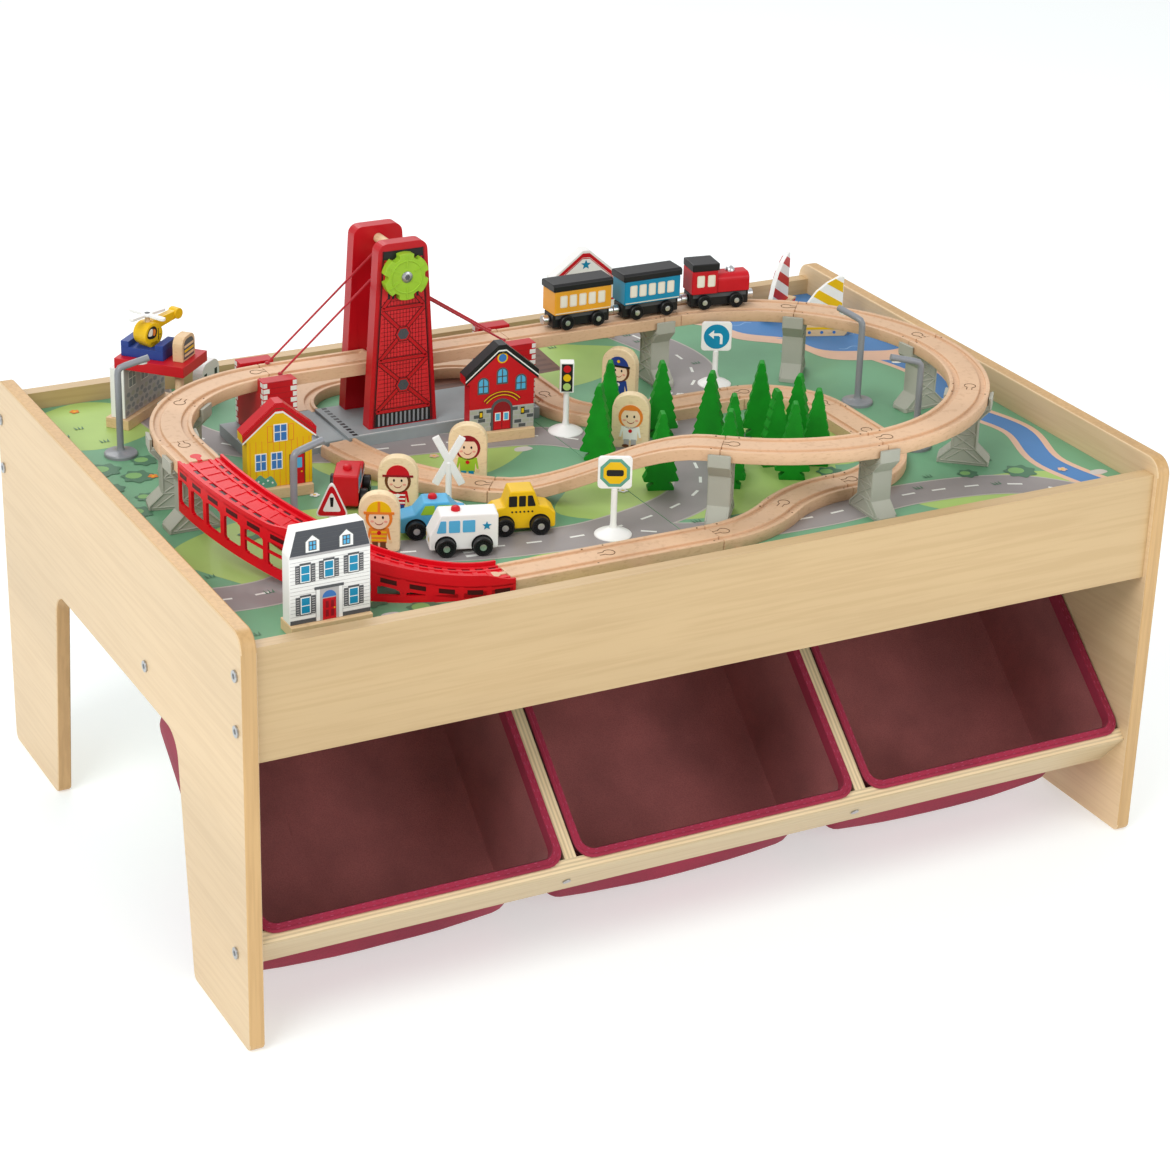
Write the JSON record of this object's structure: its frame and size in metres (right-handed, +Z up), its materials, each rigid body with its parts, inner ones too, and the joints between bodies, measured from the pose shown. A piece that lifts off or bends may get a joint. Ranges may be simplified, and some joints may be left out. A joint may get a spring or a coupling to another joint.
{
  "type": "train table",
  "caption": "Low wooden play table with end-panel legs, fabric storage bins in a slanted rack and a printed board that carries a two-level toy railway, a lifting bridge and a toy town.",
  "frame": {"origin": "middle of the table's footprint, on the floor", "axes": "+X along the table's length, to the right as seen from the bins' side; +Y away from the bins' side; +Z up"},
  "size_m": [0.979, 0.675, 0.5845],
  "materials": {
    "panel_wood": "satin",
    "apron_wood": "satin",
    "board_print": "satin",
    "ply": "satin",
    "steel": "satin",
    "bin_fabric": "matte",
    "track_wood": "satin",
    "ramp_red": "gloss",
    "pier_grey": "matte",
    "base_grey": "satin",
    "bridge_red": "satin",
    "dowel_wood": "satin",
    "knob_green": "gloss",
    "cord_red": "matte",
    "house_yellow": "satin",
    "house_red": "satin",
    "house_white": "satin",
    "pad_red": "satin",
    "helicopter_yellow": "gloss",
    "rotor_white": "gloss",
    "sail_wood": "satin",
    "tree_green": "satin",
    "figure_wood": "satin",
    "lamp_grey": "gloss",
    "sign_white": "gloss",
    "car_white": "gloss",
    "car_blue": "gloss",
    "car_yellow": "gloss",
    "car_red": "gloss",
    "wheel_black": "gloss",
    "coach_blue": "gloss",
    "coach_yellow": "gloss"
  },
  "bodies": {
    "table": {"left_end_panel": "panel_wood", "right_end_panel": "panel_wood", "front_apron": "apron_wood", "rear_apron": "apron_wood", "board_cleats": "apron_wood", "playboard": "board_print", "rack_front_rail": "ply", "rack_rear_rail": "ply", "rack_dividers": "ply", "frame_fasteners": "steel", "upper_track": "track_wood", "descending_track": "track_wood", "lower_track": "track_wood", "plastic_ramp": "ramp_red", "track_piers": "pier_grey", "bridge_base": "base_grey", "bridge_towers": "bridge_red", "bridge_end_pillars": "bridge_red", "bridge_dowels": "dowel_wood", "left_cords": "cord_red", "right_cords": "cord_red", "yellow_house": "house_yellow", "fire_station": "house_red", "white_house": "house_white", "hospital": "house_white", "helicopter_pad": "pad_red", "helicopter": "helicopter_yellow", "sailboats": "sail_wood", "trees": "tree_green", "figures": "figure_wood", "street_lamps": "lamp_grey", "road_signs": "sign_white"},
    "bin_left_body": {"bin_left": "bin_fabric"},
    "bin_middle_body": {"bin_middle": "bin_fabric"},
    "bin_right_body": {"bin_right": "bin_fabric"},
    "bridge_winch_body": {"bridge_winch": "knob_green"},
    "left_leaf_body": {"left_leaf": "track_wood"},
    "right_leaf_body": {"right_leaf": "track_wood"},
    "helicopter_rotor_body": {"helicopter_rotor": "rotor_white"},
    "ambulance_body": {"ambulance": "car_white"},
    "ambulance_front_wheels_body": {"ambulance_front_wheels": "wheel_black"},
    "ambulance_rear_wheels_body": {"ambulance_rear_wheels": "wheel_black"},
    "police_car_body": {"police_car": "car_blue"},
    "police_front_wheels_body": {"police_front_wheels": "wheel_black"},
    "police_rear_wheels_body": {"police_rear_wheels": "wheel_black"},
    "taxi_body": {"taxi": "car_yellow"},
    "taxi_front_wheels_body": {"taxi_front_wheels": "wheel_black"},
    "taxi_rear_wheels_body": {"taxi_rear_wheels": "wheel_black"},
    "fire_truck_body": {"fire_truck": "car_red"},
    "truck_front_wheels_body": {"truck_front_wheels": "wheel_black"},
    "truck_rear_wheels_body": {"truck_rear_wheels": "wheel_black"},
    "locomotive_body": {"locomotive": "car_red"},
    "loco_front_wheels_body": {"loco_front_wheels": "wheel_black"},
    "loco_rear_wheels_body": {"loco_rear_wheels": "wheel_black"},
    "blue_coach_body": {"blue_coach": "coach_blue"},
    "blue_front_wheels_body": {"blue_front_wheels": "wheel_black"},
    "blue_rear_wheels_body": {"blue_rear_wheels": "wheel_black"},
    "yellow_coach_body": {"yellow_coach": "coach_yellow"},
    "yellow_front_wheels_body": {"yellow_front_wheels": "wheel_black"},
    "yellow_rear_wheels_body": {"yellow_rear_wheels": "wheel_black"}
  },
  "joints": [
    {"name": "bin_left_lift", "type": "slide", "parent": "table", "child": "bin_left_body", "axis": [0, -0.6561, 0.7547], "range_m": [0, 0.06]},
    {"name": "bin_middle_lift", "type": "slide", "parent": "table", "child": "bin_middle_body", "axis": [0, -0.6561, 0.7547], "range_m": [0, 0.06]},
    {"name": "bin_right_lift", "type": "slide", "parent": "table", "child": "bin_right_body", "axis": [0, -0.6561, 0.7547], "range_m": [0, 0.06]},
    {"name": "left_leaf_lift", "type": "hinge", "parent": "table", "child": "left_leaf_body", "pos_m": [-0.15986, 0.13703, 0.451], "axis": [0, 1, 0], "range_deg": [0, 60], "deforming": ["left_cords", "right_cords"]},
    {"name": "right_leaf_lift", "type": "hinge", "parent": "table", "child": "right_leaf_body", "pos_m": [-0.11986, 0.13703, 0.451], "axis": [0, -1, 0], "range_deg": [0, 60]},
    {"name": "winch_turn", "type": "hinge", "parent": "table", "child": "bridge_winch_body", "pos_m": [-0.13986, 0.13703, 0.5515], "axis": [0, 1, 0], "range_deg": [0, 600]},
    {"name": "rotor_spin", "type": "hinge", "parent": "table", "child": "helicopter_rotor_body", "pos_m": [-0.36009, 0.2303, 0.497], "axis": [0, 0, 1], "continuous": true},
    {"name": "ambulance_roll", "type": "slide", "parent": "table", "child": "ambulance_body", "axis": [-0.9563, 0.2924, 0], "range_m": [-0.004, 0.02]},
    {"name": "ambulance_front_wheels_spin", "type": "hinge", "parent": "ambulance_body", "child": "ambulance_front_wheels_body", "pos_m": [-0.22387, -0.17671, 0.3898], "axis": [-0.2924, -0.9563, 0], "continuous": true},
    {"name": "ambulance_rear_wheels_spin", "type": "hinge", "parent": "ambulance_body", "child": "ambulance_rear_wheels_body", "pos_m": [-0.19136, -0.18665, 0.3898], "axis": [-0.2924, -0.9563, 0], "continuous": true},
    {"name": "police_roll", "type": "slide", "parent": "table", "child": "police_car_body", "axis": [-0.9563, 0.2924, 0], "range_m": [0, 0.03]},
    {"name": "police_front_wheels_spin", "type": "hinge", "parent": "police_car_body", "child": "police_front_wheels_body", "pos_m": [-0.23219, -0.12922, 0.3898], "axis": [-0.2924, -0.9563, 0], "continuous": true},
    {"name": "police_rear_wheels_spin", "type": "hinge", "parent": "police_car_body", "child": "police_rear_wheels_body", "pos_m": [-0.19968, -0.13916, 0.3898], "axis": [-0.2924, -0.9563, 0], "continuous": true},
    {"name": "taxi_roll", "type": "slide", "parent": "table", "child": "taxi_body", "axis": [0.9613, -0.2756, 0], "range_m": [0, 0.03]},
    {"name": "taxi_front_wheels_spin", "type": "hinge", "parent": "taxi_body", "child": "taxi_front_wheels_body", "pos_m": [-0.12116, -0.16486, 0.3898], "axis": [0.2756, 0.9613, 0], "continuous": true},
    {"name": "taxi_rear_wheels_spin", "type": "hinge", "parent": "taxi_body", "child": "taxi_rear_wheels_body", "pos_m": [-0.15384, -0.15549, 0.3898], "axis": [0.2756, 0.9613, 0], "continuous": true},
    {"name": "truck_roll", "type": "slide", "parent": "table", "child": "fire_truck_body", "axis": [-0.4848, -0.8746, 0], "range_m": [-0.01, 0.01]},
    {"name": "truck_front_wheels_spin", "type": "hinge", "parent": "fire_truck_body", "child": "truck_front_wheels_body", "pos_m": [-0.26311, -0.04402, 0.3898], "axis": [0.8746, -0.4848, 0], "continuous": true},
    {"name": "truck_rear_wheels_spin", "type": "hinge", "parent": "fire_truck_body", "child": "truck_rear_wheels_body", "pos_m": [-0.24662, -0.01428, 0.3898], "axis": [0.8746, -0.4848, 0], "continuous": true},
    {"name": "blue_run", "type": "slide", "parent": "table", "child": "blue_coach_body", "axis": [1, 0, 0], "range_m": [-0.035, 0]},
    {"name": "blue_front_wheels_spin", "type": "hinge", "parent": "blue_coach_body", "child": "blue_front_wheels_body", "pos_m": [0.17534, 0.13703, 0.4653], "axis": [0, 1, 0], "continuous": true},
    {"name": "blue_rear_wheels_spin", "type": "hinge", "parent": "blue_coach_body", "child": "blue_rear_wheels_body", "pos_m": [0.13934, 0.13703, 0.4653], "axis": [0, 1, 0], "continuous": true},
    {"name": "loco_run", "type": "slide", "parent": "table", "child": "locomotive_body", "axis": [1, 0, 0], "range_m": [-0.035, 0]},
    {"name": "loco_front_wheels_spin", "type": "hinge", "parent": "locomotive_body", "child": "loco_front_wheels_body", "pos_m": [0.25814, 0.13079, 0.4653], "axis": [0.1495, 0.9888, 0], "continuous": true},
    {"name": "loco_rear_wheels_spin", "type": "hinge", "parent": "locomotive_body", "child": "loco_rear_wheels_body", "pos_m": [0.22254, 0.13617, 0.4653], "axis": [0.1495, 0.9888, 0], "continuous": true},
    {"name": "yellow_run", "type": "slide", "parent": "table", "child": "yellow_coach_body", "axis": [1, 0, 0], "range_m": [-0.035, 0]},
    {"name": "yellow_front_wheels_spin", "type": "hinge", "parent": "yellow_coach_body", "child": "yellow_front_wheels_body", "pos_m": [0.09334, 0.13703, 0.4653], "axis": [0, 1, 0], "continuous": true},
    {"name": "yellow_rear_wheels_spin", "type": "hinge", "parent": "yellow_coach_body", "child": "yellow_rear_wheels_body", "pos_m": [0.05734, 0.13703, 0.4653], "axis": [0, 1, 0], "continuous": true}
  ],
  "couplings": [
    {"joint": "right_leaf_lift", "follows": "left_leaf_lift", "ratio": 1},
    {"joint": "winch_turn", "follows": "left_leaf_lift", "ratio": 10},
    {"joint": "ambulance_front_wheels_spin", "follows": "ambulance_roll", "rad_per_m": 111.11},
    {"joint": "ambulance_rear_wheels_spin", "follows": "ambulance_roll", "rad_per_m": 111.11},
    {"joint": "police_front_wheels_spin", "follows": "police_roll", "rad_per_m": 111.11},
    {"joint": "police_rear_wheels_spin", "follows": "police_roll", "rad_per_m": 111.11},
    {"joint": "taxi_front_wheels_spin", "follows": "taxi_roll", "rad_per_m": 111.11},
    {"joint": "taxi_rear_wheels_spin", "follows": "taxi_roll", "rad_per_m": 111.11},
    {"joint": "truck_front_wheels_spin", "follows": "truck_roll", "rad_per_m": 111.11},
    {"joint": "truck_rear_wheels_spin", "follows": "truck_roll", "rad_per_m": 111.11},
    {"joint": "blue_front_wheels_spin", "follows": "blue_run", "rad_per_m": 125},
    {"joint": "blue_rear_wheels_spin", "follows": "blue_run", "rad_per_m": 125},
    {"joint": "loco_run", "follows": "blue_run", "ratio": 1},
    {"joint": "loco_front_wheels_spin", "follows": "blue_run", "rad_per_m": 125},
    {"joint": "loco_rear_wheels_spin", "follows": "blue_run", "rad_per_m": 125},
    {"joint": "yellow_run", "follows": "blue_run", "ratio": 1},
    {"joint": "yellow_front_wheels_spin", "follows": "blue_run", "rad_per_m": 125},
    {"joint": "yellow_rear_wheels_spin", "follows": "blue_run", "rad_per_m": 125}
  ]
}
